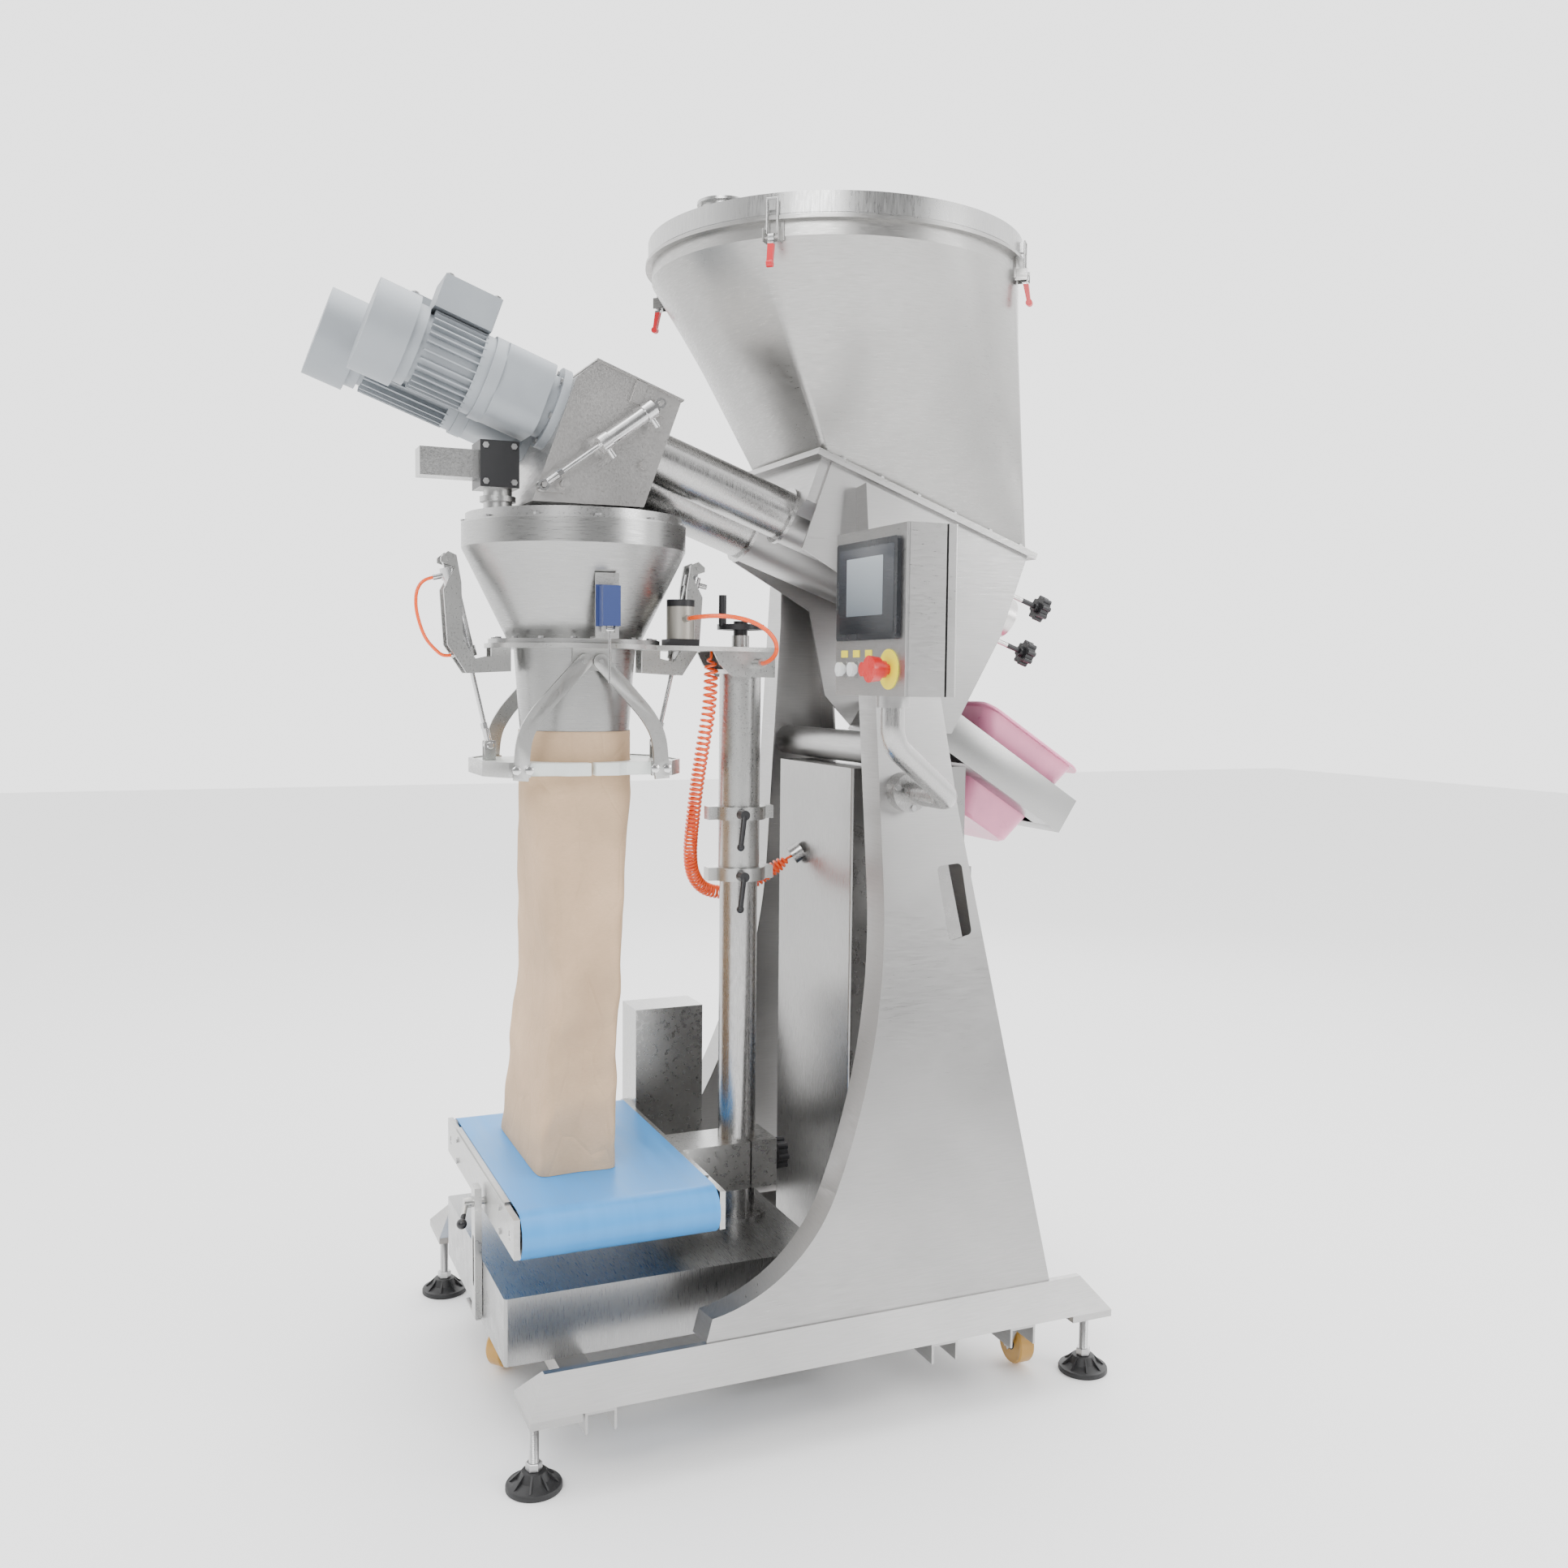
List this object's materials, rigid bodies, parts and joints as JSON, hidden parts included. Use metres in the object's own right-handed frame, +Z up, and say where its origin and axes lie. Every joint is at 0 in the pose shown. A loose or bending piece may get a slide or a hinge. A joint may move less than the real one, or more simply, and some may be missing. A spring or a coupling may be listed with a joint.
{
  "type": "open-mouth bag filling machine",
  "caption": "Free-standing open-mouth bag filler: tilted twin screw feeder under a round hopper, pneumatic bag clamp, belt conveyor and control pendant.",
  "frame": {"origin": "on the floor, at the centre of the four levelling feet", "axes": "+Z up, +X to the machine's rear, +Y to the operator's left as the operator faces the machine from the -X side"},
  "size_m": [1.4294, 1.085, 2.08],
  "materials": {
    "stainless": "brushed",
    "polished": "polished",
    "painted_grey": "satin",
    "black_plastic": "matte",
    "blue_plastic": "matte",
    "white_plastic": "satin",
    "belt_blue": "satin",
    "kraft": "matte paper",
    "wheel_grey": "matte",
    "hose_orange": "gloss",
    "screen": "gloss",
    "button_white": "gloss",
    "button_red": "gloss"
  },
  "bodies": {
    "frame": {"base_frame": "stainless", "levelling_feet": "stainless", "base_box": "stainless", "column_inner": "polished", "side_frame": "stainless", "cabinet_shell": "stainless", "screw_tubes": "stainless", "feeder_trough": "stainless", "hopper_shell": "stainless", "chute_box": "stainless", "gearmotors": "painted_grey", "cleaning_ports": "black_plastic", "pendant_arm": "stainless", "rear_tray": "stainless", "spiral_hose": "hose_orange"},
    "head": {"column_head": "stainless", "filling_cone": "stainless", "cone_cover": "stainless", "vibrator": "painted_grey", "limit_switch": "blue_plastic", "paper_bag": "kraft", "vibrator_hose": "hose_orange"},
    "conveyor": {"conveyor_frame": "stainless", "conveyor_belt": "belt_blue"},
    "pendant": {"pendant_box": "stainless", "touch_screen": "screen"},
    "door": {"cabinet_door": "stainless"},
    "lid": {"hopper_lid": "stainless"},
    "fine_screw": {"fine_auger": "stainless"},
    "coarse_screw": {"coarse_auger": "stainless"},
    "flap": {"flap_gate": "stainless"},
    "flap_cylinder": {"flap_barrel": "polished"},
    "flap_piston": {"flap_rod": "polished"},
    "front_clamp": {"front_jaw": "white_plastic"},
    "rear_clamp": {"rear_jaw": "white_plastic"},
    "front_cylinder": {"front_barrel": "polished", "clamp_hose": "hose_orange"},
    "front_piston": {"front_rod": "polished"},
    "rear_cylinder": {"rear_barrel": "polished"},
    "rear_piston": {"rear_rod": "polished"},
    "wheel_and_screw": {"handwheel": "black_plastic"},
    "upper_lever": {"collar_lever_upper": "black_plastic"},
    "lower_lever": {"collar_lever_lower": "black_plastic"},
    "whisker": {"switch_whisker": "polished"},
    "tail_drum": {"tail_roller": "polished"},
    "drive_drum": {"drive_roller": "polished"},
    "start_button": {"button_start": "button_white"},
    "stop_button": {"button_stop": "button_red"},
    "reset_button": {"button_reset": "button_white"},
    "emergency_stop": {"estop_button": "button_red"},
    "caster_1": {"caster_fork_1": "polished"},
    "caster_roll_1": {"caster_wheel_1": "wheel_grey"},
    "caster_2": {"caster_fork_2": "polished"},
    "caster_roll_2": {"caster_wheel_2": "wheel_grey"},
    "caster_3": {"caster_fork_3": "polished"},
    "caster_roll_3": {"caster_wheel_3": "wheel_grey"},
    "latch_1": {"toggle_handle_1": "button_red"},
    "latch_2": {"toggle_handle_2": "button_red"},
    "latch_3": {"toggle_handle_3": "button_red"},
    "latch_4": {"toggle_handle_4": "button_red"}
  },
  "joints": [
    {"name": "head_lift", "type": "slide", "parent": "frame", "child": "head", "axis": [0, 0, 1], "range_m": [-0.045, 0], "deforming": ["spiral_hose"]},
    {"name": "conveyor_lift", "type": "slide", "parent": "frame", "child": "conveyor", "axis": [0, 0, 1], "range_m": [-0.045, 0]},
    {"name": "handwheel_turn", "type": "hinge", "parent": "head", "child": "wheel_and_screw", "pos_m": [-0.035, -0.03, 1.33], "axis": [0, 0, 1], "range_deg": [-3300, 0]},
    {"name": "upper_lever_turn", "type": "hinge", "parent": "head", "child": "upper_lever", "pos_m": [-0.051, -0.092, 1.002], "axis": [0, 1, 0], "range_deg": [0, 100]},
    {"name": "lower_lever_turn", "type": "hinge", "parent": "head", "child": "lower_lever", "pos_m": [-0.051, -0.092, 0.89], "axis": [0, 1, 0], "range_deg": [0, 100]},
    {"name": "fine_screw_spin", "type": "hinge", "parent": "frame", "child": "fine_screw", "pos_m": [-0.06, -0.085, 1.571], "axis": [0.9397, 0, -0.342], "continuous": true},
    {"name": "coarse_screw_spin", "type": "hinge", "parent": "frame", "child": "coarse_screw", "pos_m": [-0.06, 0.088, 1.571], "axis": [0.9397, 0, -0.342], "continuous": true},
    {"name": "flap_turn", "type": "hinge", "parent": "frame", "child": "flap", "pos_m": [-0.402, 0, 1.56], "axis": [0, 1, 0], "range_deg": [0, 30]},
    {"name": "flap_cylinder_swing", "type": "hinge", "parent": "frame", "child": "flap_cylinder", "pos_m": [-0.24, -0.178, 1.702], "axis": [0, 1, 0], "range_deg": [-1, 5]},
    {"name": "flap_rod_stroke", "type": "slide", "parent": "flap_cylinder", "child": "flap_piston", "axis": [-0.8049, 0, -0.5935], "range_m": [-0.015, 0.001]},
    {"name": "front_clamp_turn", "type": "hinge", "parent": "head", "child": "front_clamp", "pos_m": [-0.352, 0, 1.274], "axis": [0, 1, 0], "range_deg": [0, 12]},
    {"name": "rear_clamp_turn", "type": "hinge", "parent": "head", "child": "rear_clamp", "pos_m": [-0.324, 0, 1.274], "axis": [0, -1, 0], "range_deg": [0, 12]},
    {"name": "front_cylinder_swing", "type": "hinge", "parent": "head", "child": "front_cylinder", "pos_m": [-0.562, 0, 1.445], "axis": [0, 1, 0], "range_deg": [-1, 5]},
    {"name": "rear_cylinder_swing", "type": "hinge", "parent": "head", "child": "rear_cylinder", "pos_m": [-0.114, 0, 1.445], "axis": [0, -1, 0], "range_deg": [-1, 5]},
    {"name": "front_rod_stroke", "type": "slide", "parent": "front_cylinder", "child": "front_piston", "axis": [0.2215, 0, -0.9752], "range_m": [-0.038, 0.001]},
    {"name": "rear_rod_stroke", "type": "slide", "parent": "rear_cylinder", "child": "rear_piston", "axis": [-0.2215, 0, -0.9752], "range_m": [-0.038, 0.001]},
    {"name": "whisker_swing", "type": "hinge", "parent": "head", "child": "whisker", "pos_m": [-0.33, -0.19, 1.326], "axis": [1, 0, 0], "range_deg": [-15, 15], "stiffness_Nm_per_rad": 0.05},
    {"name": "tail_roller_spin", "type": "hinge", "parent": "conveyor", "child": "tail_drum", "pos_m": [-0.3385, -0.27, 0.358], "axis": [1, 0, 0], "continuous": true},
    {"name": "drive_roller_spin", "type": "hinge", "parent": "conveyor", "child": "drive_drum", "pos_m": [-0.3385, 0.24, 0.358], "axis": [1, 0, 0], "continuous": true},
    {"name": "pendant_swivel", "type": "hinge", "parent": "frame", "child": "pendant", "pos_m": [0.022, -0.525, 1.22], "axis": [0, 0, 1], "range_deg": [-45, 30]},
    {"name": "start_press", "type": "slide", "parent": "pendant", "child": "start_button", "axis": [1, 0, 0], "range_m": [0, 0.0035], "stiffness_N_per_m": 900},
    {"name": "reset_press", "type": "slide", "parent": "pendant", "child": "reset_button", "axis": [1, 0, 0], "range_m": [0, 0.0035], "stiffness_N_per_m": 900},
    {"name": "stop_press", "type": "slide", "parent": "pendant", "child": "stop_button", "axis": [1, 0, 0], "range_m": [0, 0.0035], "stiffness_N_per_m": 900},
    {"name": "emergency_press", "type": "slide", "parent": "pendant", "child": "emergency_stop", "axis": [1, 0, 0], "range_m": [0, 0.005], "stiffness_N_per_m": 1500},
    {"name": "door_open", "type": "hinge", "parent": "frame", "child": "door", "pos_m": [0.3815, 0.166, 0.6], "axis": [0, 0, 1], "range_deg": [0, 110]},
    {"name": "lid_lift", "type": "slide", "parent": "frame", "child": "lid", "axis": [0, 0, 1], "range_m": [0, 0.25]},
    {"name": "latch_1_turn", "type": "hinge", "parent": "frame", "child": "latch_1", "pos_m": [-0.07821, -0.26456, 1.968], "axis": [-0.7431, 0.6691, 0], "range_deg": [0, 120]},
    {"name": "latch_2_turn", "type": "hinge", "parent": "frame", "child": "latch_2", "pos_m": [0.42456, -0.23821, 1.968], "axis": [-0.6691, -0.7431, 0], "range_deg": [0, 120]},
    {"name": "latch_3_turn", "type": "hinge", "parent": "frame", "child": "latch_3", "pos_m": [0.39821, 0.26456, 1.968], "axis": [0.7431, -0.6691, 0], "range_deg": [0, 120]},
    {"name": "latch_4_turn", "type": "hinge", "parent": "frame", "child": "latch_4", "pos_m": [-0.10456, 0.23821, 1.968], "axis": [0.6691, 0.7431, 0], "range_deg": [0, 120]},
    {"name": "caster_swivel_1", "type": "hinge", "parent": "frame", "child": "caster_1", "pos_m": [-0.482, 0, 0.1], "axis": [0, 0, 1], "continuous": true},
    {"name": "caster_spin_1", "type": "hinge", "parent": "caster_1", "child": "caster_roll_1", "pos_m": [-0.46361, 0.01543, 0.0435], "axis": [0.6428, -0.766, 0], "continuous": true},
    {"name": "caster_swivel_2", "type": "hinge", "parent": "frame", "child": "caster_2", "pos_m": [0.405, -0.345, 0.1], "axis": [0, 0, 1], "continuous": true},
    {"name": "caster_spin_2", "type": "hinge", "parent": "caster_2", "child": "caster_roll_2", "pos_m": [0.405, -0.321, 0.0435], "axis": [1, 0, 0], "continuous": true},
    {"name": "caster_swivel_3", "type": "hinge", "parent": "frame", "child": "caster_3", "pos_m": [0.405, 0.345, 0.1], "axis": [0, 0, 1], "continuous": true},
    {"name": "caster_spin_3", "type": "hinge", "parent": "caster_3", "child": "caster_roll_3", "pos_m": [0.405, 0.369, 0.0435], "axis": [1, 0, 0], "continuous": true}
  ],
  "couplings": [
    {"joint": "conveyor_lift", "follows": "head_lift", "ratio": 1},
    {"joint": "handwheel_turn", "follows": "head_lift", "rad_per_m": 1256.6},
    {"joint": "drive_roller_spin", "follows": "tail_roller_spin", "ratio": 1},
    {"joint": "flap_cylinder_swing", "follows": "flap_turn", "ratio": 0.10856},
    {"joint": "flap_rod_stroke", "follows": "flap_turn", "m_per_rad": -0.02463},
    {"joint": "front_cylinder_swing", "follows": "front_clamp_turn", "ratio": 0.3245},
    {"joint": "front_rod_stroke", "follows": "front_clamp_turn", "m_per_rad": -0.17418},
    {"joint": "rear_cylinder_swing", "follows": "rear_clamp_turn", "ratio": 0.3245},
    {"joint": "rear_rod_stroke", "follows": "rear_clamp_turn", "m_per_rad": -0.17418}
  ]
}
